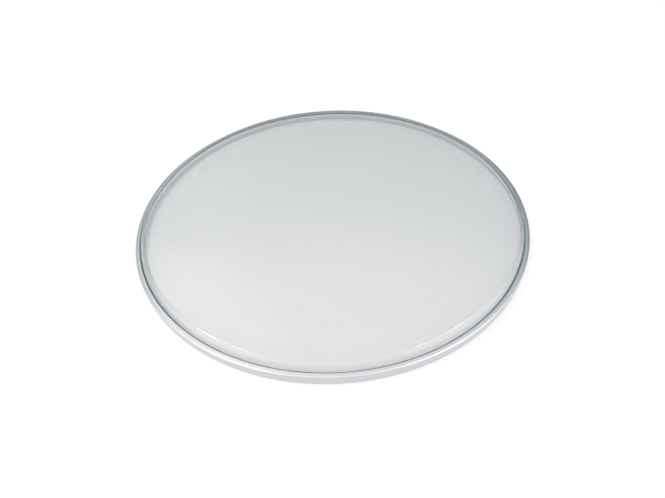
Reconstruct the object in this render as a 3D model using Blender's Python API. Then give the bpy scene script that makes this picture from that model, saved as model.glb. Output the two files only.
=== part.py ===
# Clear drum head for a 14 inch shell, lying playing side up.
#
# A formed polyester film is held in a rolled aluminium channel, the flesh hoop.
# The film's skirt goes down into the channel's narrow mouth. It is perforated, and
# cured resin fills the channel and runs through the holes, which locks the film.
# A narrow ring of the same film is bonded under the playing area as a damper.
#
# Units are metres and +Z is the playing side. The origin is the middle of the
# plane that the hoop's base rests on. Every piece is turned about the Z axis.

import math

import bmesh
import bpy

MM = 0.001

# Driving dimensions
SHELL_OUTER_DIAMETER = 355.6 * MM
SHELL_CLEARANCE = 1.2 * MM          # radial room between the shell and the hoop
CHANNEL_WIDTH = 5.7 * MM            # over both walls of the hoop
HOOP_HEIGHT = 9.5 * MM              # from the base to the top land
COLLAR_RISE = 5.5 * MM              # from the top land to the playing face
FILM_THICKNESS = 0.254 * MM

# Flesh hoop
STRIP_THICKNESS = 0.9 * MM
LIP_DROP = 2.3 * MM                 # the inner lip ends this far below the top land
BASE_CORNER_RADIUS = 1.1 * MM       # inside radius of both lower corners
SHOULDER_RADIUS = 0.9 * MM          # inside radius where the outer wall rolls over
TOP_LAND_LEAST = 0.2 * MM           # the shoulder always leaves this much flat land
CURL_RADIUS = 12.0 * MM             # inside radius of the gentle curl at the mouth
CURL_ANGLE = 3.0                    # degrees that the edge at the mouth turns down
SEAM_GAP = 0.3 * MM                 # butt joint of the rolled strip
SEAM_AZIMUTH = 58.5                 # degrees from +X

# Film
BEND_RADIUS = 5.7 * MM              # middle of the film, between playing face and collar
COLLAR_SLOPE = 68.0                 # degrees below horizontal
MOUTH_CLEARANCE = 1.0 * MM          # between the collar and the edge at the mouth
SKIRT_TURN_DEPTH = 0.6 * MM         # the skirt turns steeper this far below the lip
SKIRT_WALL_ROOM = 2.0 * MM          # from the skirt's end to the channel's outer wall
SKIRT_FLOOR_ROOM = 1.7 * MM         # from the skirt's end to the channel's floor

# Locking holes in the skirt, each filled by a key of resin
LOCK_HOLE_COUNT = 40
LOCK_HOLE_DIAMETER = 2.4 * MM
LOCK_HOLE_SIDES = 8

# Resin
RESIN_DROP = 1.2 * MM               # from the inner lip down to the resin's surface

# Damping ring under the film
CONTROL_RING_WIDTH = 22.7 * MM
CONTROL_RING_THICKNESS = 0.254 * MM
CONTROL_RING_MARGIN = 0.5 * MM      # radial room between the ring and the film's bend
BOND_THICKNESS = 0.1 * MM
BOND_WIDTH = 10.0 * MM
BOND_INSET = 1.5 * MM               # from the ring's outer edge

# Clearances and facets
SEAT_GAP = 0.3 * MM                 # between pieces that touch in the channel
LAMINATE_GAP = 0.1 * MM             # on each side of the bond
SEGMENTS = 80                       # round the whole head
CORNER_STEPS = 3                    # in each quarter turn of the base
SHOULDER_STEPS = 4
CURL_STEPS = 3
BEND_STEPS = 4
SHARP_ANGLE = 35.0                  # degrees

# Radii and heights that follow from the dimensions
HOOP_INNER_RADIUS = SHELL_OUTER_DIAMETER / 2 + SHELL_CLEARANCE
HOOP_OUTER_RADIUS = HOOP_INNER_RADIUS + CHANNEL_WIDTH
LIP_HEIGHT = HOOP_HEIGHT - LIP_DROP
RESIN_LEVEL = LIP_HEIGHT - RESIN_DROP
PLAYING_HEIGHT = HOOP_HEIGHT + COLLAR_RISE


def material(name, colour, roughness, metallic=0.0, alpha=1.0):
    """A plain Principled material."""
    made = bpy.data.materials.new(name)
    made.use_nodes = True
    shader = made.node_tree.nodes["Principled BSDF"]
    shader.inputs["Base Color"].default_value = (*colour, 1.0)
    shader.inputs["Roughness"].default_value = roughness
    shader.inputs["Metallic"].default_value = metallic
    shader.inputs["Alpha"].default_value = alpha
    made.diffuse_color = (*colour, alpha)
    return made


def arc(centre, radius, start, end, steps):
    """Points of an arc in the section plane, from start to end in degrees."""
    points = []
    for step in range(steps + 1):
        angle = math.radians(start + (end - start) * step / steps)
        points.append((centre[0] + radius * math.cos(angle), centre[1] + radius * math.sin(angle)))
    return points


def offset_path(path, distance):
    """The open path moved to the left of its direction of travel, with mitred corners."""
    normals = []
    for (r0, z0), (r1, z1) in zip(path, path[1:]):
        length = math.hypot(r1 - r0, z1 - z0)
        normals.append(((z0 - z1) / length, (r1 - r0) / length))
    before = [normals[0]] + normals
    after = normals + [normals[-1]]
    moved = []
    for point, first, second in zip(path, before, after):
        scale = distance / (1 + first[0] * second[0] + first[1] * second[1])
        moved.append((point[0] + (first[0] + second[0]) * scale, point[1] + (first[1] + second[1]) * scale))
    return moved


def below(path, height):
    """The part of a section path that lies under a height, cut where it crosses it."""
    kept = []
    for start, end in zip(path, path[1:]):
        if start[1] <= height:
            kept.append(start)
        if (start[1] - height) * (end[1] - height) < 0:
            share = (height - start[1]) / (end[1] - start[1])
            kept.append((start[0] + (end[0] - start[0]) * share, height))
    if path[-1][1] <= height:
        kept.append(path[-1])
    return kept


def turned(name, outline, finish=None, seam=None):
    """Turn a closed section about Z. A seam (azimuth, width) leaves the ring open there."""
    mesh = bpy.data.meshes.new(name)
    form = bmesh.new()
    start = 0.0
    sweep = 2 * math.pi
    if seam:
        opening = seam[1] / HOOP_OUTER_RADIUS
        start = math.radians(seam[0]) + opening / 2
        sweep -= opening
    verts = [form.verts.new((r * math.cos(start), r * math.sin(start), z)) for r, z in outline]
    edges = [form.edges.new((a, b)) for a, b in zip(verts, verts[1:] + verts[:1])]
    if seam:
        form.faces.new(verts)
    swept = bmesh.ops.spin(form, geom=verts + edges, cent=(0, 0, 0), axis=(0, 0, 1),
                           angle=sweep, steps=SEGMENTS, use_merge=not seam)
    if seam:
        last = [piece for piece in swept["geom_last"] if isinstance(piece, bmesh.types.BMEdge)]
        bmesh.ops.contextual_create(form, geom=last)
    bmesh.ops.remove_doubles(form, verts=form.verts, dist=0.001 * MM)
    bmesh.ops.recalc_face_normals(form, faces=form.faces)
    form.to_mesh(mesh)
    form.free()
    return placed(name, mesh, finish)


def placed(name, mesh, finish=None):
    """Put a mesh in the scene as a smooth shaded object."""
    thing = bpy.data.objects.new(name, mesh)
    bpy.context.collection.objects.link(thing)
    mesh.shade_smooth()
    mesh.set_sharp_from_angle(angle=math.radians(SHARP_ANGLE))
    if finish:
        mesh.materials.append(finish)
    return thing


def cut(target, cutter):
    """Take the cutter's shape out of the target."""
    cutter.hide_render = True
    cutter.display_type = "WIRE"
    modifier = target.modifiers.new("cut_" + cutter.name, "BOOLEAN")
    modifier.operation = "DIFFERENCE"
    modifier.solver = "EXACT"
    modifier.object = cutter


def collar_line():
    """Outward normal of the collar in the section plane, and how far along it the film's middle lies."""
    slope = math.radians(COLLAR_SLOPE)
    normal = (math.sin(slope), math.cos(slope))
    lip = (HOOP_INNER_RADIUS + STRIP_THICKNESS, LIP_HEIGHT)
    reach = lip[0] * normal[0] + lip[1] * normal[1] + SEAT_GAP + FILM_THICKNESS / 2
    return normal, reach


def curl_centre():
    """Centre of the gentle curl at the mouth, whose tip stands clear of the collar by the mouth clearance."""
    normal, reach = collar_line()
    angle = math.radians(CURL_ANGLE)
    outside = CURL_RADIUS + STRIP_THICKNESS
    centre_z = HOOP_HEIGHT - outside
    tip_z = centre_z + outside * math.cos(angle)
    tip_r = (reach + FILM_THICKNESS / 2 + MOUTH_CLEARANCE - tip_z * normal[1]) / normal[0]
    return tip_r + outside * math.sin(angle), centre_z


def strip_path():
    """Middle of the hoop's strip, from the inner lip round the base to the edge at the mouth."""
    half = STRIP_THICKNESS / 2
    corner = BASE_CORNER_RADIUS + STRIP_THICKNESS
    base_inner = (HOOP_INNER_RADIUS + corner, corner)
    base_outer = (HOOP_OUTER_RADIUS - corner, corner)
    curl = curl_centre()
    room = HOOP_OUTER_RADIUS - curl[0] - TOP_LAND_LEAST
    roll = min(SHOULDER_RADIUS + STRIP_THICKNESS, room)
    shoulder = (HOOP_OUTER_RADIUS - roll, HOOP_HEIGHT - roll)
    path = [(HOOP_INNER_RADIUS + half, LIP_HEIGHT)]
    path += arc(base_inner, corner - half, 180, 270, CORNER_STEPS)
    path += arc(base_outer, corner - half, 270, 360, CORNER_STEPS)
    path += arc(shoulder, roll - half, 0, 90, SHOULDER_STEPS)
    path += arc(curl, CURL_RADIUS + half, 90, 90 + CURL_ANGLE, CURL_STEPS)
    return path


def film_path():
    """Middle of the film, from the centre over the bend and down into the channel."""
    normal, reach = collar_line()
    bend_z = PLAYING_HEIGHT - FILM_THICKNESS / 2 - BEND_RADIUS
    bend_r = (reach - BEND_RADIUS - bend_z * normal[1]) / normal[0]
    turn_z = LIP_HEIGHT - SKIRT_TURN_DEPTH
    turn_r = (reach - turn_z * normal[1]) / normal[0]
    end_r = HOOP_OUTER_RADIUS - STRIP_THICKNESS - SKIRT_WALL_ROOM
    end_z = STRIP_THICKNESS + SKIRT_FLOOR_ROOM
    path = [(0.0, bend_z + BEND_RADIUS)]
    path += arc((bend_r, bend_z), BEND_RADIUS, 90, 90 - COLLAR_SLOPE, BEND_STEPS)
    path += [(turn_r, turn_z), (end_r, end_z)]
    return path


def along_skirt(height):
    """The point on the skirt's middle at a height, and the skirt's downward direction."""
    turn, end = film_path()[-2:]
    share = (height - turn[1]) / (end[1] - turn[1])
    length = math.hypot(end[0] - turn[0], end[1] - turn[1])
    down = ((end[0] - turn[0]) / length, (end[1] - turn[1]) / length)
    return (turn[0] + (end[0] - turn[0]) * share, height), down


def hole_azimuths():
    """Azimuths of the locking holes, each at the middle of the nearest facet."""
    facet = 2 * math.pi / SEGMENTS
    return [(round(hole * SEGMENTS / LOCK_HOLE_COUNT) + 0.5) * facet for hole in range(LOCK_HOLE_COUNT)]


def lock_pins(name, diameter):
    """Short prisms, square to the skirt halfway down its potted depth, one at each hole."""
    end_z = film_path()[-1][1]
    (centre_r, centre_z), (down_r, down_z) = along_skirt((RESIN_LEVEL + end_z) / 2)
    centre_r *= math.cos(math.pi / SEGMENTS)
    reach = FILM_THICKNESS / 2 + 2 * SEAT_GAP
    mesh = bpy.data.meshes.new(name)
    form = bmesh.new()
    for azimuth in hole_azimuths():
        out_x, out_y = math.cos(azimuth), math.sin(azimuth)
        rings = []
        for along in (-reach, reach):
            ring = []
            for side in range(LOCK_HOLE_SIDES):
                angle = 2 * math.pi * (side + 0.5) / LOCK_HOLE_SIDES
                across = diameter / 2 * math.cos(angle)
                down = diameter / 2 * math.sin(angle)
                r = centre_r - along * down_z + down * down_r
                z = centre_z + along * down_r + down * down_z
                ring.append(form.verts.new((r * out_x - across * out_y, r * out_y + across * out_x, z)))
            rings.append(ring)
        ends = [form.faces.new(ring) for ring in rings]
        bmesh.ops.bridge_loops(form, edges=[edge for face in ends for edge in face.edges])
    bmesh.ops.recalc_face_normals(form, faces=form.faces)
    form.to_mesh(mesh)
    form.free()
    return placed(name, mesh)


def flesh_hoop():
    """Rolled channel: flat base, upright inner lip, outer wall rolled over to a narrow mouth."""
    path = strip_path()
    outline = offset_path(path, -STRIP_THICKNESS / 2) + offset_path(path, STRIP_THICKNESS / 2)[::-1]
    aluminium = material("hoop_aluminium", (0.78, 0.79, 0.80), 0.32, metallic=1.0)
    return turned("flesh_hoop", outline, aluminium, seam=(SEAM_AZIMUTH, SEAM_GAP))


def film():
    """Playing face, bend, collar and perforated skirt in one formed sheet."""
    path = film_path()
    outline = offset_path(path, FILM_THICKNESS / 2) + offset_path(path, -FILM_THICKNESS / 2)[::-1]
    clear = material("film_clear", (0.86, 0.88, 0.88), 0.08, alpha=0.35)
    sheet = turned("film", outline, clear)
    cut(sheet, lock_pins("lock_hole_cutter", LOCK_HOLE_DIAMETER))
    return sheet


def potting_resin():
    """Cured resin that fills the channel round the skirt, keyed through its holes."""
    channel = offset_path(strip_path(), STRIP_THICKNESS / 2 + SEAT_GAP)
    amber = material("resin_amber", (0.62, 0.55, 0.40), 0.45)
    filling = turned("potting_resin", below(channel, RESIN_LEVEL), amber)
    room = FILM_THICKNESS / 2 + SEAT_GAP
    turn, end = film_path()[-2:]
    down = along_skirt(end[1])[1]
    tip = (end[0] + down[0] * SEAT_GAP, end[1] + down[1] * SEAT_GAP)
    outline = offset_path([turn, tip], room) + offset_path([turn, tip], -room)[::-1]
    slot = turned("skirt_slot_cutter", outline)
    cut(slot, lock_pins("key_cutter", LOCK_HOLE_DIAMETER - 2 * SEAT_GAP))
    cut(filling, slot)
    return filling


def flat_ring(name, inner, outer, top, thickness, finish):
    """A flat ring with its upper face at the height top."""
    outline = [(inner, top - thickness), (outer, top - thickness), (outer, top), (inner, top)]
    return turned(name, outline, finish)


def damping_ring():
    """The control ring and the narrow bond that holds it under the film."""
    outer = film_path()[1][0] - CONTROL_RING_MARGIN
    bond_top = PLAYING_HEIGHT - FILM_THICKNESS - LAMINATE_GAP
    ring_top = bond_top - BOND_THICKNESS - LAMINATE_GAP
    bond_outer = outer - BOND_INSET
    bond = material("bond_clear", (0.88, 0.88, 0.86), 0.30, alpha=0.5)
    flat_ring("bond_ring", bond_outer - BOND_WIDTH, bond_outer, bond_top, BOND_THICKNESS, bond)
    sheet = material("control_ring_clear", (0.86, 0.88, 0.88), 0.10, alpha=0.35)
    flat_ring("control_ring", outer - CONTROL_RING_WIDTH, outer, ring_top, CONTROL_RING_THICKNESS, sheet)


def build():
    """Clear the scene and make every piece of the head."""
    for thing in list(bpy.data.objects):
        bpy.data.objects.remove(thing, do_unlink=True)
    flesh_hoop()
    film()
    potting_resin()
    damping_ring()


build()
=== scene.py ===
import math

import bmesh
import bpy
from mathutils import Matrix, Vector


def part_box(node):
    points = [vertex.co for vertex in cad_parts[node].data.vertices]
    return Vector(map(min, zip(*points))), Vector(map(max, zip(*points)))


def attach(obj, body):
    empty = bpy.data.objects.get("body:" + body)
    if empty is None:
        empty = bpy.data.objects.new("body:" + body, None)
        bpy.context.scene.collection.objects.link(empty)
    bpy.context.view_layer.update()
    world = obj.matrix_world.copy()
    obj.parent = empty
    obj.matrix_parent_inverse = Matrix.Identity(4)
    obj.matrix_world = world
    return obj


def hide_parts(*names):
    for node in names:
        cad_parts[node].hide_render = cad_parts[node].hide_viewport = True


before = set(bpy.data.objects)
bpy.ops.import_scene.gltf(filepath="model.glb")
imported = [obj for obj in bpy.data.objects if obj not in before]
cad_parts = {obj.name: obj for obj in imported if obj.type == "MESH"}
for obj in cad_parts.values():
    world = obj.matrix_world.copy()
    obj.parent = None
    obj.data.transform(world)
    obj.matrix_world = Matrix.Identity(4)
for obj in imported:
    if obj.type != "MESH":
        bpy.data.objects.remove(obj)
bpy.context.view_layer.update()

# Clear 14 inch drum head, playing side up on a white table.
#
# Units are metres and +Z is the playing side. The overall sizes come from the frame;
# the section values below are the ones that the hoop and the film are formed to.
# A ring starts as a circle and is drawn along its section by extrusion. Its corners
# are bevelled round, and the sheet gets its thickness last.

MM = 0.001

# Sizes that the frame gives
HOOP_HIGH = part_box("flesh_hoop")[1]
FILM_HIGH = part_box("film")[1]
RING_LOW, RING_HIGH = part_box("control_ring")
BOND_LOW, BOND_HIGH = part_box("bond_ring")
HOOP_OUTER_RADIUS = HOOP_HIGH.x
HOOP_HEIGHT = HOOP_HIGH.z
PLAYING_HEIGHT = FILM_HIGH.z

# Flesh hoop section
CHANNEL_WIDTH = 5.7 * MM
STRIP_THICKNESS = 0.9 * MM
LIP_DROP = 2.3 * MM
BASE_CORNER_RADIUS = 1.1 * MM       # inside radius
SHOULDER_RADIUS = 0.9 * MM          # inside radius
SQUARE_TURN = 90.0                  # degrees, at the base corners and the shoulder
CURL_RADIUS = 12.0 * MM             # inside radius of the gentle curl at the mouth
CURL_ANGLE = 3.0                    # degrees that the edge at the mouth turns down
STRIP_EDGE_ROUNDING = 0.25 * MM
SEAM_GAP = 0.3 * MM
SEAM_AZIMUTH = 58.5                 # degrees from +X
HOOP_INNER_RADIUS = HOOP_OUTER_RADIUS - CHANNEL_WIDTH
LIP_HEIGHT = HOOP_HEIGHT - LIP_DROP

# Film section
FILM_THICKNESS = 0.254 * MM
BEND_RADIUS = 5.7 * MM              # middle of the film
COLLAR_SLOPE = 68.0                 # degrees below horizontal
SEAT_GAP = 0.3 * MM                 # between the collar and the hoop's inner lip
MOUTH_CLEARANCE = 1.0 * MM          # between the collar and the edge at the mouth
SKIRT_TURN_DEPTH = 0.6 * MM         # below the lip
SKIRT_TURN_RADIUS = 2.0 * MM
SKIRT_WALL_ROOM = 2.0 * MM
SKIRT_FLOOR_ROOM = 1.7 * MM
RESIN_DROP = 1.2 * MM               # from the inner lip to the resin
LOCK_HOLE_COUNT = 40
LOCK_HOLE_DIAMETER = 2.4 * MM
LOCK_HOLE_SIDES = 24
FIRST_HOLE = 0.25                   # share of the hole spacing, from +X
PUNCH_LENGTH = 4 * FILM_THICKNESS
SHEET_EDGE_SHARE = 0.2              # rounding of a thin sheet's edges, of its thickness

# Crimps in the collar: waves round the head, share of the depth, phase in radians
CRIMP_DEPTH = 0.034 * MM
CRIMP_WAVES = ((188, 0.5, 0.0), (231, 0.35, 1.3), (97, 0.3, 2.1), (317, 0.2, 0.4))

# Fineness of the rings
HOOP_SIDES = 720
FILM_SIDES = 1440
FLAT_RINGS = (0.3, 0.55, 0.75, 0.9)  # shares of the flat's radius
CORNER_SEGMENTS = 8
SHOULDER_SEGMENTS = 12
CURL_STEPS = 10
BEND_SEGMENTS = 12
EDGE_SEGMENTS = 3
EDGE_ANGLE = 50.0                   # degrees; edges sharper than this are rounded
SMOOTH_ANGLE = 40.0                 # degrees; faces that meet flatter than this shade as one
SAWN_SIDES = 1.5                    # sides of the hoop that each saw cut at the seam may cross
NEAR = 0.02 * MM                    # two points closer than this are the same corner

# Rolled aluminium. Line counts are per metre across and per radian around
DIE_LINES_ACROSS = 5200.0
DIE_LINES_AROUND = 5.0
DIE_LINE_HEIGHT = 0.004 * MM
DIE_LINE_SHARE = 0.6                # of the tone; the drift has the rest
DRIFT_SCALE = 38.0
SCUFF_SCALE = 900.0
ALUMINIUM_DULL = (0.612, 0.603, 0.621)
ALUMINIUM_CLEAN = (0.682, 0.673, 0.691)
ALUMINIUM_ROUGHNESS = (0.26, 0.34)
SCUFF_ROUGHNESS = 0.06

# Inner lip: its top and the upper part of its inner face are painted lighter, a painted highlight
LIP_HIGHLIGHT_RADII = (HOOP_INNER_RADIUS + 1.0 * MM, HOOP_INNER_RADIUS + 1.2 * MM)
LIP_HIGHLIGHT_HEIGHTS = (3.8 * MM, 7.1 * MM)
LIP_HIGHLIGHT_COLOUR = (0.88, 0.90, 0.92)

# Clear plastics. Passed is the share of light that falls through a sheet. The slant tint, where the eye
# looks along a sheet, is partly its longer path through it and partly painted shade that darkens the far
# side
CLEAR_FILM = {"tint": (0.807, 0.802, 0.830), "slant_tint_and_shade": (0.425, 0.502, 0.496),
              "passed": (0.88, 0.88, 0.88), "roughness": 0.04, "haze": 0.03, "ior": 1.64}
RING_FILM = {"tint": (0.995, 0.995, 0.995), "slant_tint_and_shade": (0.99, 0.99, 0.99),
             "passed": (0.99, 0.99, 0.99), "roughness": 0.05, "haze": 0.04, "ior": 1.06}
ADHESIVE = {"tint": (1.0, 1.0, 1.0), "slant_tint_and_shade": (1.0, 1.0, 1.0),
            "passed": (1.0, 1.0, 1.0), "roughness": 0.03, "haze": 0.0, "ior": 1.02}
CLOUD_SCALE = 24.0
CLOUD_TINT = 0.995                  # share of the tint at the low end of the clouds
CLOUD_ROUGHNESS = 0.8               # share of the roughness there
GRAIN_SCALE = 700.0
GRAIN_HEIGHT = 0.002 * MM
GRAIN_ROUGHNESS = 0.02

# Short marks that the forming die leaves where the bend meets the collar
MARK_ACROSS = 90.0                  # per metre
MARK_AROUND = 95.0                  # per radian
MARK_HEIGHT = 0.10 * MM
MARK_RADII = (173.0 * MM, 175.2 * MM)

# Dark band round the collar at the mouth: painted shade of the narrow gap there
MOUTH_SHADE_BOTTOM = 7.95 * MM
MOUTH_SHADE_TOP = 8.75 * MM
MOUTH_SHADE_FADE = 0.3 * MM
MOUTH_SHADE_WAVE = 0.08 * MM
MOUTH_SHADE_WAVE_SCALE = 90.0
MOUTH_SHADE_COLOUR = (0.08, 0.09, 0.10)

# Potting resin
RESIN_CLOUD_SCALE = 120.0
RESIN_BUBBLE_SCALE = 1500.0
RESIN_BUBBLE_HEIGHT = 0.02 * MM
RESIN_DEEP = (0.62, 0.68, 0.71)
RESIN_PALE = (0.70, 0.76, 0.79)
RESIN_ROUGHNESS = (0.25, 0.45)
RESIN_IOR = 1.54

# Camera, from the middle of the head's base
CAMERA_DISTANCE = 450 * MM
CAMERA_ELEVATION = 40.95            # degrees
CAMERA_AIM = (-0.34 * MM, -59.7 * MM, 9.5 * MM)
CAMERA_ROLL = -3.19                 # degrees
CAMERA_NEAREST = 10 * MM
SENSOR_WIDTH = 36.0                 # millimetres
CAMERA_LENS = 24.52                 # millimetres

# Table. Own white is the share of plain white in what the eye, metal and glass see
FLOOR_SIZE = 12.0
FLOOR_DROP = 0.1 * MM
FLOOR_COLOUR = (0.80, 0.80, 0.80)
FLOOR_OWN_WHITE = 0.78
FLOOR_OWN_WHITE_INSIDE = 0.08       # inside the hoop
FLOOR_SHARE_RADII = (178.0 * MM, 184.0 * MM)

# Lamps: azimuth and elevation in degrees, width, height, radiance, colour, and whether
# gloss shows them
LAMP_DISTANCE = 1.3
LAMPS = {"softbox_left": (198.0, 60.4, 0.15, 0.16, 11.0, (1.0, 1.0, 1.0), True),
         "softbox_right": (343.2, 65.5, 0.15, 0.16, 8.0, (1.0, 1.0, 1.0), True),
         "key_light": (185.0, 61.0, 0.5, 0.5, 9.6, (1.0, 0.86, 0.73), False)}

# Colour of the room by the sine of the elevation
ROOM_BEHIND = ((0.0, (0.95, 0.95, 0.95)), (0.10, (0.90, 0.91, 0.92)), (0.18, (0.10, 0.15, 0.17)),
               (0.46, (0.02, 0.10, 0.12)), (0.54, (0.09, 0.27, 0.30)), (0.65, (0.31, 0.46, 0.50)),
               (0.76, (0.92, 1.06, 1.11)), (0.86, (1.06, 1.05, 1.07)), (1.0, (1.18, 1.20, 1.24)))
ROOM_IN_FRONT = ((0.0, (0.95, 0.95, 0.95)), (0.3, (0.92, 0.92, 0.93)), (0.6, (1.08, 1.08, 1.09)),
                 (0.86, (1.25, 1.25, 1.25)), (1.0, (1.18, 1.20, 1.24)))
ROOM_AT_LEFT = ((0.0, (0.93, 1.02, 1.04)), (0.38, (0.86, 0.96, 0.98)), (0.50, (0.14, 0.22, 0.24)),
                (0.64, (0.13, 0.25, 0.29)), (0.74, (0.84, 1.0, 1.08)), (0.86, (0.99, 1.08, 1.15)),
                (1.0, (1.18, 1.20, 1.24)))
FRONT_FADE = (0.40, -0.20)          # Y of a direction where the front begins, and where it is full
LEFT_FADE = (-0.37, -0.45)          # the same in X for the left

# Round soft lights in the room: azimuth, elevation, full out to, gone at, all in degrees
SOFT_LIGHTS = ((203.0, 34.0, 16.0, 38.0), (337.0, 34.0, 13.0, 36.0), (124.0, 54.0, 5.0, 16.0))
SOFT_LIGHT_COLOUR = (1.68, 1.68, 1.68)


def deselect_everything():
    """Leave edit mode and clear the selection."""
    if bpy.context.mode != "OBJECT":
        bpy.ops.object.mode_set(mode="OBJECT")
    bpy.ops.object.select_all(action="DESELECT")


def take(piece):
    """Make one piece the selected and active one."""
    deselect_everything()
    piece.select_set(True)
    bpy.context.view_layer.objects.active = piece


def start_ring(name, radius, height, sides, filled):
    """A circle to draw a section from, open or closed by a fan of triangles, in edit mode."""
    deselect_everything()
    fill = "TRIFAN" if filled else "NOTHING"
    bpy.ops.mesh.primitive_circle_add(vertices=sides, radius=radius, fill_type=fill,
                                      location=(0, 0, height))
    ring = bpy.context.object
    ring.name = name
    ring.data.name = name
    bpy.ops.object.transform_apply(location=True, rotation=True, scale=True)
    bpy.ops.object.mode_set(mode="EDIT")
    bpy.ops.mesh.select_mode(type="EDGE")
    bpy.ops.mesh.select_all(action="DESELECT")
    select_loop(ring, radius, height)
    return ring


def select_loop(ring, radius, height):
    """Select the edges that run round the ring at one radius and height."""
    form = bmesh.from_edit_mesh(ring.data)
    for edge in form.edges:
        places = [(math.hypot(v.co.x, v.co.y) - radius, v.co.z - height) for v in edge.verts]
        edge.select_set(all(abs(r) < NEAR and abs(z) < NEAR for r, z in places))
    bmesh.update_edit_mesh(ring.data)


def draw_section(places):
    """Extrude the selected loop through each (radius, height) of a section in turn."""
    for (r0, z0), (r1, z1) in zip(places, places[1:]):
        bpy.ops.mesh.extrude_edges_move(TRANSFORM_OT_translate={"value": (0, 0, z1 - z0)})
        bpy.ops.transform.resize(value=(r1 / r0, r1 / r0, 1), center_override=(0, 0, z1))


def round_corner(ring, place, radius, turn, segments):
    """Bevel the loop at a section corner to an arc, for a turn in degrees."""
    select_loop(ring, *place)
    reach = radius * math.tan(math.radians(turn) / 2)
    bpy.ops.mesh.bevel(offset_type="OFFSET", offset=reach, segments=segments, profile=0.5,
                       affect="EDGES", clamp_overlap=False)


def finish_sheet(piece, thickness, edge_rounding):
    """Give a drawn sheet its thickness, round its edges and shade it smooth."""
    bpy.ops.mesh.select_all(action="SELECT")
    bpy.ops.mesh.normals_make_consistent(inside=False)
    take(piece)
    wall = piece.modifiers.new("thickness", "SOLIDIFY")
    wall.thickness = thickness
    wall.offset = 0
    wall.use_even_offset = True
    bpy.ops.object.modifier_apply(modifier=wall.name)
    edges = piece.modifiers.new("edges", "BEVEL")
    edges.width = edge_rounding
    edges.segments = EDGE_SEGMENTS
    edges.limit_method = "ANGLE"
    edges.angle_limit = math.radians(EDGE_ANGLE)
    bpy.ops.object.modifier_apply(modifier=edges.name)
    bpy.ops.object.shade_smooth_by_angle(angle=math.radians(SMOOTH_ANGLE))


def collar_line():
    """Outward normal of the collar in the section, and how far along it the film's middle lies."""
    slope = math.radians(COLLAR_SLOPE)
    normal = (math.sin(slope), math.cos(slope))
    lip_radius = HOOP_INNER_RADIUS + STRIP_THICKNESS
    reach = lip_radius * normal[0] + LIP_HEIGHT * normal[1] + SEAT_GAP + FILM_THICKNESS / 2
    return normal, reach


def collar_radius(height):
    """Radius of the collar's middle surface at a height."""
    normal, reach = collar_line()
    return (reach - height * normal[1]) / normal[0]


def curl_places():
    """Section places of the gentle curl, from the top land to the edge at the mouth."""
    normal, reach = collar_line()
    outside = CURL_RADIUS + STRIP_THICKNESS
    middle = CURL_RADIUS + STRIP_THICKNESS / 2
    centre_z = HOOP_HEIGHT - outside
    tip_z = centre_z + outside * math.cos(math.radians(CURL_ANGLE))
    tip_r = (reach + FILM_THICKNESS / 2 + MOUTH_CLEARANCE - tip_z * normal[1]) / normal[0]
    centre_r = tip_r + outside * math.sin(math.radians(CURL_ANGLE))
    places = []
    for step in range(CURL_STEPS + 1):
        turn = math.radians(CURL_ANGLE * step / CURL_STEPS)
        places.append((centre_r - middle * math.sin(turn), centre_z + middle * math.cos(turn)))
    return places


def select_at_seam(hoop, out, along, reach):
    """Select the hoop's faces whose middles lie within reach of the seam."""
    form = bmesh.from_edit_mesh(hoop.data)
    for face in form.faces:
        middle = face.calc_center_median()
        face.select_set(middle.dot(out) > 0 and abs(middle.dot(along)) < reach)
    bmesh.update_edit_mesh(hoop.data)


def cut_seam(hoop):
    """Saw the closed ring open at the seam and take out the sliver between the two cuts."""
    across = math.radians(SEAM_AZIMUTH)
    out = Vector((math.cos(across), math.sin(across), 0))
    along = Vector((-math.sin(across), math.cos(across), 0))
    side_length = HOOP_OUTER_RADIUS * 2 * math.pi / HOOP_SIDES
    bpy.ops.mesh.select_mode(type="FACE")
    for side in (-1, 1):
        select_at_seam(hoop, out, along, SAWN_SIDES * side_length)
        bpy.ops.mesh.bisect(plane_co=along * side * SEAM_GAP / 2, plane_no=along)
    select_at_seam(hoop, out, along, SEAM_GAP / 2)
    bpy.ops.mesh.delete(type="FACE")


def flesh_hoop():
    """Rolled aluminium channel with an inner lip, a rounded shoulder and a narrow mouth."""
    half = STRIP_THICKNESS / 2
    lip = (HOOP_INNER_RADIUS + half, LIP_HEIGHT)
    base_inner = (HOOP_INNER_RADIUS + half, half)
    base_outer = (HOOP_OUTER_RADIUS - half, half)
    shoulder = (HOOP_OUTER_RADIUS - half, HOOP_HEIGHT - half)
    hoop = start_ring("rolled_flesh_hoop", lip[0], lip[1], HOOP_SIDES, filled=False)
    draw_section([lip, base_inner, base_outer, shoulder] + curl_places())
    round_corner(hoop, base_inner, BASE_CORNER_RADIUS + half, SQUARE_TURN, CORNER_SEGMENTS)
    round_corner(hoop, base_outer, BASE_CORNER_RADIUS + half, SQUARE_TURN, CORNER_SEGMENTS)
    round_corner(hoop, shoulder, SHOULDER_RADIUS + half, SQUARE_TURN, SHOULDER_SEGMENTS)
    cut_seam(hoop)
    finish_sheet(hoop, STRIP_THICKNESS, STRIP_EDGE_ROUNDING)
    return hoop


def crimp(film):
    """Shallow uneven crimps round the collar, fading out at the bend and at the mouth."""
    (nr, nz), _ = collar_line()
    top = collar_radius(PLAYING_HEIGHT - BEND_RADIUS / 2)
    foot = collar_radius(LIP_HEIGHT)
    for vertex in film.data.vertices:
        radius = math.hypot(vertex.co.x, vertex.co.y)
        share = (radius - top) / (foot - top)
        if 0 < share < 1:
            azimuth = math.atan2(vertex.co.y, vertex.co.x)
            wave = sum(size * math.sin(count * azimuth + phase) for count, size, phase in CRIMP_WAVES)
            move = CRIMP_DEPTH * wave * math.sin(math.pi * share)
            vertex.co += Vector((nr * math.cos(azimuth), nr * math.sin(azimuth), nz)) * move


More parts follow.
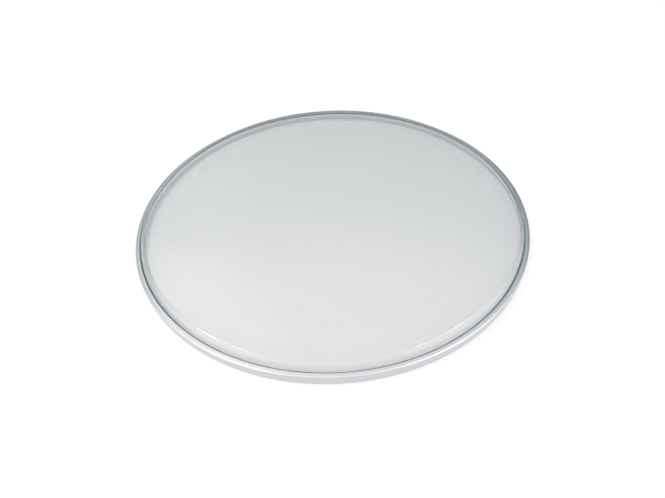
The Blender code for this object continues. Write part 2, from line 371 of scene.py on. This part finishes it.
def punch_lock_holes(film, turn, end):
    """Cut the round holes that lock the skirt in the resin."""
    (turn_r, turn_z), (end_r, end_z) = turn, end
    middle_z = (LIP_HEIGHT - RESIN_DROP + end_z) / 2
    middle_r = turn_r + (end_r - turn_r) * (middle_z - turn_z) / (end_z - turn_z)
    tilt = math.atan2(end_r - turn_r, turn_z - end_z)
    spacing = 2 * math.pi / LOCK_HOLE_COUNT
    pins = []
    for hole in range(LOCK_HOLE_COUNT):
        deselect_everything()
        bpy.ops.mesh.primitive_cylinder_add(vertices=LOCK_HOLE_SIDES, radius=LOCK_HOLE_DIAMETER / 2,
                                            depth=PUNCH_LENGTH)
        pin = bpy.context.object
        azimuth = (hole + FIRST_HOLE) * spacing
        place = Matrix.Rotation(azimuth, 4, "Z") @ Matrix.Translation((middle_r, 0, middle_z))
        pin.data.transform(place @ Matrix.Rotation(math.pi / 2 - tilt, 4, "Y"))
        pins.append(pin)
    deselect_everything()
    for pin in pins:
        pin.select_set(True)
    bpy.context.view_layer.objects.active = pins[0]
    bpy.ops.object.join()
    punch = bpy.context.object
    take(film)
    holes = film.modifiers.new("lock_holes", "BOOLEAN")
    holes.operation = "DIFFERENCE"
    holes.solver = "EXACT"
    holes.object = punch
    bpy.ops.object.modifier_apply(modifier=holes.name)
    bpy.data.objects.remove(punch, do_unlink=True)


def formed_film():
    """One clear sheet: flat playing face, bend, crimped collar and perforated skirt."""
    flat_z = PLAYING_HEIGHT - FILM_THICKNESS / 2
    corner = (collar_radius(flat_z), flat_z)
    bend_reach = BEND_RADIUS * math.tan(math.radians(COLLAR_SLOPE) / 2)
    turn_z = LIP_HEIGHT - SKIRT_TURN_DEPTH
    turn = (collar_radius(turn_z), turn_z)
    end = (HOOP_OUTER_RADIUS - STRIP_THICKNESS - SKIRT_WALL_ROOM, STRIP_THICKNESS + SKIRT_FLOOR_ROOM)
    skirt_slope = math.degrees(math.atan2(turn_z - end[1], end[0] - turn[0]))
    flat = [(corner[0] * share, flat_z) for share in FLAT_RINGS]
    support = (corner[0] - bend_reach - FILM_THICKNESS, flat_z)
    film = start_ring("formed_film", flat[0][0], flat_z, FILM_SIDES, filled=True)
    draw_section(flat + [support, corner, turn, end])
    round_corner(film, corner, BEND_RADIUS, COLLAR_SLOPE, BEND_SEGMENTS)
    round_corner(film, turn, SKIRT_TURN_RADIUS, skirt_slope - COLLAR_SLOPE, EDGE_SEGMENTS)
    finish_sheet(film, FILM_THICKNESS, FILM_THICKNESS * SHEET_EDGE_SHARE)
    crimp(film)
    punch_lock_holes(film, turn, end)
    return film


def inner_radius(node):
    """Smallest radius of a CAD ring's corners."""
    return min(math.hypot(v.co.x, v.co.y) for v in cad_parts[node].data.vertices)


def flat_sheet_ring(name, node, low, high):
    """A thin flat ring with softened edges, to the sizes of its CAD node."""
    middle = (low.z + high.z) / 2
    thickness = high.z - low.z
    start = (inner_radius(node), middle)
    ring = start_ring(name, start[0], middle, HOOP_SIDES, filled=False)
    draw_section([start, (start[0] + thickness, middle), (high.x - thickness, middle), (high.x, middle)])
    finish_sheet(ring, thickness, thickness * SHEET_EDGE_SHARE)
    return ring


def new_material(name):
    """An empty node material and its tree."""
    made = bpy.data.materials.new(name)
    made.use_nodes = True
    made.node_tree.nodes.clear()
    return made, made.node_tree


def add(tree, kind, values=None, **settings):
    """Add a node, set its properties and its unlinked inputs."""
    node = tree.nodes.new(kind)
    for key, value in settings.items():
        setattr(node, key, value)
    for key, value in (values or {}).items():
        node.inputs[key].default_value = value
    return node


def feed(tree, item, socket):
    """Give an input another node's result, a colour or a number."""
    if isinstance(item, bpy.types.NodeSocket):
        tree.links.new(item, socket)
    elif isinstance(item, tuple):
        socket.default_value = (*item, 1)
    else:
        socket.default_value = item


def maths(tree, operation, first, second):
    """A Math node on two results or numbers; returns its result."""
    node = add(tree, "ShaderNodeMath", operation=operation)
    feed(tree, first, node.inputs[0])
    feed(tree, second, node.inputs[1])
    return node.outputs[0]


def blend(tree, factor, first, second):
    """A colour between two colours or results, by a factor."""
    node = add(tree, "ShaderNodeMix", data_type="RGBA")
    for name, item in (("Factor", factor), ("A", first), ("B", second)):
        feed(tree, item, node.inputs[name])
    return node.outputs["Result"]


def spread(tree, value, low, high, from_low=0.3, from_high=0.7, interpolation="LINEAR"):
    """Map a range of values to another and hold the ends; the first range suits noise."""
    node = add(tree, "ShaderNodeMapRange", {"From Min": from_low, "From Max": from_high,
                                            "To Min": low, "To Max": high},
               interpolation_type=interpolation)
    tree.links.new(value, node.inputs["Value"])
    return node.outputs["Result"]


def object_place(tree):
    """The object coordinate."""
    return add(tree, "ShaderNodeTexCoord").outputs["Object"]


def axes(tree, vector):
    """The three parts of a vector."""
    split = add(tree, "ShaderNodeSeparateXYZ")
    tree.links.new(vector, split.inputs[0])
    return split.outputs


def ring_radius(tree):
    """Distance from the head's axis."""
    flat = add(tree, "ShaderNodeVectorMath", {1: (1, 1, 0)}, operation="MULTIPLY")
    tree.links.new(object_place(tree), flat.inputs[0])
    length = add(tree, "ShaderNodeVectorMath", operation="LENGTH")
    tree.links.new(flat.outputs[0], length.inputs[0])
    return length.outputs["Value"]


def ring_coordinates(tree, across, around):
    """Coordinates that run with the ring: radius and height times across, azimuth times around."""
    x, y, z = axes(tree, object_place(tree))
    joined = add(tree, "ShaderNodeCombineXYZ")
    tree.links.new(maths(tree, "MULTIPLY", ring_radius(tree), across), joined.inputs[0])
    tree.links.new(maths(tree, "MULTIPLY", z, across), joined.inputs[1])
    tree.links.new(maths(tree, "MULTIPLY", maths(tree, "ARCTAN2", y, x), around), joined.inputs[2])
    return joined.outputs[0]


def noise(tree, vector, scale, detail=3.0, roughness=0.55):
    """A noise texture's value at a coordinate."""
    node = add(tree, "ShaderNodeTexNoise", {"Scale": scale, "Detail": detail, "Roughness": roughness})
    tree.links.new(vector, node.inputs["Vector"])
    return node.outputs["Fac"]


def bump(tree, height, distance):
    """The normal of a surface whose relief is a height times a distance."""
    node = add(tree, "ShaderNodeBump", {"Strength": 1.0, "Distance": distance})
    tree.links.new(height, node.inputs["Height"])
    return node.outputs["Normal"]


def surface(tree, shader):
    """Make a shader the material's surface."""
    output = add(tree, "ShaderNodeOutputMaterial")
    tree.links.new(shader, output.inputs["Surface"])


def painted_lip_highlight(tree):
    """1 on the inner lip's top and the upper part of its inner face, where a highlight is painted."""
    height = axes(tree, object_place(tree))["Z"]
    inside = spread(tree, ring_radius(tree), 1.0, 0.0, *LIP_HIGHLIGHT_RADII)
    high = spread(tree, height, 0.0, 1.0, *LIP_HIGHLIGHT_HEIGHTS)
    return maths(tree, "MULTIPLY", inside, high)


def rolled_aluminium():
    """Satin aluminium strip with fine die lines that run round the hoop, light handling wear, and a
    painted highlight on the inner lip.
    """
    made, tree = new_material("rolled_aluminium")
    around = ring_coordinates(tree, DIE_LINES_ACROSS, DIE_LINES_AROUND)
    lines = noise(tree, around, 1.0, detail=4.0, roughness=0.65)
    drift = noise(tree, object_place(tree), DRIFT_SCALE)
    scuffs = noise(tree, object_place(tree), SCUFF_SCALE, detail=2.0)
    shader = add(tree, "ShaderNodeBsdfPrincipled", {"Metallic": 1.0})
    tone = maths(tree, "ADD", maths(tree, "MULTIPLY", lines, DIE_LINE_SHARE),
                 maths(tree, "MULTIPLY", drift, 1.0 - DIE_LINE_SHARE))
    colour = blend(tree, spread(tree, tone, 0.0, 1.0), ALUMINIUM_DULL, ALUMINIUM_CLEAN)
    # Painted highlight: the inner lip is lightened towards a pale colour
    colour = blend(tree, painted_lip_highlight(tree), colour, LIP_HIGHLIGHT_COLOUR)
    tree.links.new(colour, shader.inputs["Base Color"])
    finish = maths(tree, "ADD", spread(tree, lines, *ALUMINIUM_ROUGHNESS),
                   spread(tree, scuffs, 0.0, SCUFF_ROUGHNESS))
    tree.links.new(finish, shader.inputs["Roughness"])
    tree.links.new(bump(tree, lines, DIE_LINE_HEIGHT), shader.inputs["Normal"])
    surface(tree, shader.outputs[0])
    return made


def painted_mouth_shade(tree):
    """1 on a slightly uneven band low on the collar at the mouth, where shade is painted."""
    uneven = spread(tree, noise(tree, object_place(tree), MOUTH_SHADE_WAVE_SCALE), -MOUTH_SHADE_WAVE, MOUTH_SHADE_WAVE)
    height = maths(tree, "ADD", axes(tree, object_place(tree))["Z"], uneven)
    below_top = spread(tree, height, 1.0, 0.0, MOUTH_SHADE_TOP - MOUTH_SHADE_FADE, MOUTH_SHADE_TOP)
    above_bottom = spread(tree, height, 0.0, 1.0, MOUTH_SHADE_BOTTOM, MOUTH_SHADE_BOTTOM + MOUTH_SHADE_FADE)
    return maths(tree, "MULTIPLY", below_top, above_bottom)


def forming_marks(tree):
    """Heights of the short marks of the forming die, from the edge of the bend down the collar."""
    marks = noise(tree, ring_coordinates(tree, MARK_ACROSS, MARK_AROUND), 1.0, detail=2.0)
    zone = spread(tree, ring_radius(tree), 0.0, MARK_HEIGHT, *MARK_RADII)
    return maths(tree, "MULTIPLY", marks, zone)


def see_through(name, tint, slant_tint_and_shade, passed, roughness, haze, ior, formed=False):
    """Clear plastic sheet: glass to the eye, and a pale filter to the light that falls through it.

    The tint deepens to the slant tint where the eye looks along the sheet: partly the longer path
    through it, and partly painted shade that darkens the sheet where it is seen at a slant.
    A formed sheet also has the marks of the forming die and a painted shade band at the mouth.
    """
    made, tree = new_material(name)
    cloud = noise(tree, object_place(tree), CLOUD_SCALE, detail=4.0)
    grain = noise(tree, object_place(tree), GRAIN_SCALE)
    shader = add(tree, "ShaderNodeBsdfPrincipled", {"Transmission Weight": 1.0 - haze, "IOR": ior})
    low_tint = tuple(channel * CLOUD_TINT for channel in tint)
    colour = blend(tree, spread(tree, cloud, 0.0, 1.0), low_tint, tint)
    slant = add(tree, "ShaderNodeLayerWeight", {"Blend": 0.5})
    # Painted shade: the sheet darkens where it is seen at a slant, beyond what its longer path gives
    colour = blend(tree, slant.outputs["Facing"], colour, slant_tint_and_shade)
    relief = maths(tree, "MULTIPLY", grain, GRAIN_HEIGHT)
    if formed:
        # Painted shade: a dark band on the collar at the mouth
        colour = blend(tree, painted_mouth_shade(tree), colour, MOUTH_SHADE_COLOUR)
        relief = maths(tree, "ADD", relief, forming_marks(tree))
    tree.links.new(colour, shader.inputs["Base Color"])
    gloss = maths(tree, "ADD", spread(tree, cloud, roughness * CLOUD_ROUGHNESS, roughness),
                  spread(tree, grain, 0.0, GRAIN_ROUGHNESS))
    tree.links.new(gloss, shader.inputs["Roughness"])
    tree.links.new(bump(tree, relief, 1.0), shader.inputs["Normal"])
    filtered = add(tree, "ShaderNodeBsdfTransparent", {"Color": (*passed, 1)})
    rays = add(tree, "ShaderNodeLightPath")
    seen = shader.outputs[0]
    # Rays that glass bends count as glossy too, so those that pass through get the glass back
    for kind, taken in (("Is Diffuse Ray", filtered), ("Is Glossy Ray", filtered),
                        ("Is Transmission Ray", shader), ("Is Shadow Ray", filtered)):
        choice = add(tree, "ShaderNodeMixShader")
        tree.links.new(rays.outputs[kind], choice.inputs[0])
        tree.links.new(seen, choice.inputs[1])
        tree.links.new(taken.outputs[0], choice.inputs[2])
        seen = choice.outputs[0]
    surface(tree, seen)
    return made


def cured_resin():
    """Pale potting resin, glossy where it set level, with fine bubbles."""
    made, tree = new_material("cured_resin")
    cloud = noise(tree, object_place(tree), RESIN_CLOUD_SCALE)
    bubbles = noise(tree, object_place(tree), RESIN_BUBBLE_SCALE, detail=2.0)
    shader = add(tree, "ShaderNodeBsdfPrincipled", {"IOR": RESIN_IOR})
    colour = blend(tree, spread(tree, cloud, 0.0, 1.0), RESIN_DEEP, RESIN_PALE)
    tree.links.new(colour, shader.inputs["Base Color"])
    tree.links.new(spread(tree, bubbles, *RESIN_ROUGHNESS), shader.inputs["Roughness"])
    tree.links.new(bump(tree, bubbles, RESIN_BUBBLE_HEIGHT), shader.inputs["Normal"])
    surface(tree, shader.outputs[0])
    return made


def white_floor():
    """Pale table: partly its own white to the eye, metal and glass, and partly lit and shaded."""
    deselect_everything()
    bpy.ops.mesh.primitive_plane_add(size=FLOOR_SIZE, location=(0, 0, -FLOOR_DROP))
    floor = bpy.context.object
    floor.name = "white_table"
    bpy.ops.object.transform_apply(location=True, rotation=True, scale=True)
    made, tree = new_material("white_table")
    lit = add(tree, "ShaderNodeBsdfDiffuse", {"Color": (*FLOOR_COLOUR, 1)})
    own = add(tree, "ShaderNodeEmission", {"Color": (1, 1, 1, 1), "Strength": 1.0})
    rays = add(tree, "ShaderNodeLightPath").outputs
    seen = maths(tree, "MAXIMUM", rays["Is Camera Ray"], rays["Is Glossy Ray"])
    seen = maths(tree, "MAXIMUM", seen, rays["Is Transmission Ray"])
    share = spread(tree, ring_radius(tree), FLOOR_OWN_WHITE_INSIDE, FLOOR_OWN_WHITE, *FLOOR_SHARE_RADII)
    choice = add(tree, "ShaderNodeMixShader")
    tree.links.new(maths(tree, "MULTIPLY", seen, share), choice.inputs[0])
    tree.links.new(lit.outputs[0], choice.inputs[1])
    tree.links.new(own.outputs[0], choice.inputs[2])
    surface(tree, choice.outputs[0])
    floor.data.materials.append(made)


def room_ramp(tree, height, stops):
    """Colour of the room by height, from the horizon at 0 to straight up at 1."""
    ramp = add(tree, "ShaderNodeValToRGB")
    elements = ramp.color_ramp.elements
    elements[0].color = (*stops[0][1], 1)
    elements[1].color = (*stops[-1][1], 1)
    for position, colour in stops[1:-1]:
        elements.new(position).color = (*colour, 1)
    tree.links.new(height, ramp.inputs[0])
    return ramp.outputs[0]


def towards(azimuth, elevation):
    """Unit vector from the head to an azimuth and elevation in degrees."""
    turn, rise = math.radians(azimuth), math.radians(elevation)
    return Vector((math.cos(rise) * math.cos(turn), math.cos(rise) * math.sin(turn), math.sin(rise)))


def soft_light(tree, direction, room, azimuth, elevation, core, edge):
    """Lay a round soft light with a fading edge over the room's colour."""
    aim = add(tree, "ShaderNodeVectorMath", {1: towards(azimuth, elevation)}, operation="DOT_PRODUCT")
    tree.links.new(direction, aim.inputs[0])
    near, far = math.cos(math.radians(core)), math.cos(math.radians(edge))
    share = spread(tree, aim.outputs["Value"], 0.0, 1.0, far, near, "SMOOTHSTEP")
    return blend(tree, share, room, SOFT_LIGHT_COLOUR)


def studio_room():
    """A dim cool room behind the head, a paler one at its left, and light overhead and in front."""
    world = bpy.data.worlds.new("studio_room")
    bpy.context.scene.world = world
    world.use_nodes = True
    tree = world.node_tree
    tree.nodes.clear()
    direction = add(tree, "ShaderNodeTexCoord").outputs["Generated"]
    x, y, z = axes(tree, direction)
    at_left = spread(tree, x, 0.0, 1.0, *LEFT_FADE, "SMOOTHSTEP")
    in_front = spread(tree, y, 0.0, 1.0, *FRONT_FADE, "SMOOTHSTEP")
    back = blend(tree, at_left, room_ramp(tree, z, ROOM_BEHIND), room_ramp(tree, z, ROOM_AT_LEFT))
    room = blend(tree, in_front, back, room_ramp(tree, z, ROOM_IN_FRONT))
    for values in SOFT_LIGHTS:
        room = soft_light(tree, direction, room, *values)
    light = add(tree, "ShaderNodeBackground", {"Strength": 1.0})
    tree.links.new(room, light.inputs["Color"])
    output = add(tree, "ShaderNodeOutputWorld")
    tree.links.new(light.outputs[0], output.inputs["Surface"])


def softbox(name, azimuth, elevation, width, height, radiance, colour, mirrored):
    """A flat lamp that looks at the head."""
    lamp = bpy.data.lights.new(name, "AREA")
    lamp.shape = "RECTANGLE"
    lamp.size = width
    lamp.size_y = height
    lamp.energy = radiance * math.pi * width * height
    lamp.color = colour
    box = bpy.data.objects.new(name, lamp)
    bpy.context.collection.objects.link(box)
    box.visible_glossy = mirrored
    way = towards(azimuth, elevation)
    aim = way.to_track_quat("Z", "Y").to_matrix().to_4x4()
    box.matrix_world = Matrix.Translation(way * LAMP_DISTANCE) @ aim


def camera():
    """Look down on the head from the front, close and slightly rolled."""
    eye = bpy.data.cameras.new("camera")
    eye.sensor_width = SENSOR_WIDTH
    eye.lens = CAMERA_LENS
    eye.clip_start = CAMERA_NEAREST
    body = bpy.data.objects.new("camera", eye)
    bpy.context.collection.objects.link(body)
    rise = math.radians(CAMERA_ELEVATION)
    place = Vector((0, -math.cos(rise), math.sin(rise))) * CAMERA_DISTANCE
    look = (place - Vector(CAMERA_AIM)).to_track_quat("Z", "Y").to_matrix().to_4x4()
    roll = Matrix.Rotation(math.radians(CAMERA_ROLL), 4, "Z")
    body.matrix_world = Matrix.Translation(place) @ look @ roll
    bpy.context.scene.camera = body


def dress(piece, finish, node):
    """Give a finished piece its material, hang it from the root body and hide the CAD node it stands
    for.
    """
    piece.data.materials.clear()
    piece.data.materials.append(finish)
    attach(piece, "root")
    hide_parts(node)


camera()
white_floor()
studio_room()
for name, values in LAMPS.items():
    softbox(name, *values)

hoop = flesh_hoop()
film = formed_film()
damping_ring = flat_sheet_ring("damping_ring", "control_ring", RING_LOW, RING_HIGH)
adhesive_ring = flat_sheet_ring("adhesive_ring", "bond_ring", BOND_LOW, BOND_HIGH)
dress(hoop, rolled_aluminium(), "flesh_hoop")
dress(film, see_through("clear_film", **CLEAR_FILM, formed=True), "film")
dress(damping_ring, see_through("ring_film", **RING_FILM), "control_ring")
dress(adhesive_ring, see_through("adhesive", **ADHESIVE), "bond_ring")
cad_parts["potting_resin"].material_slots[0].material = cured_resin()

deselect_everything()
bpy.context.scene.view_settings.view_transform = "Standard"
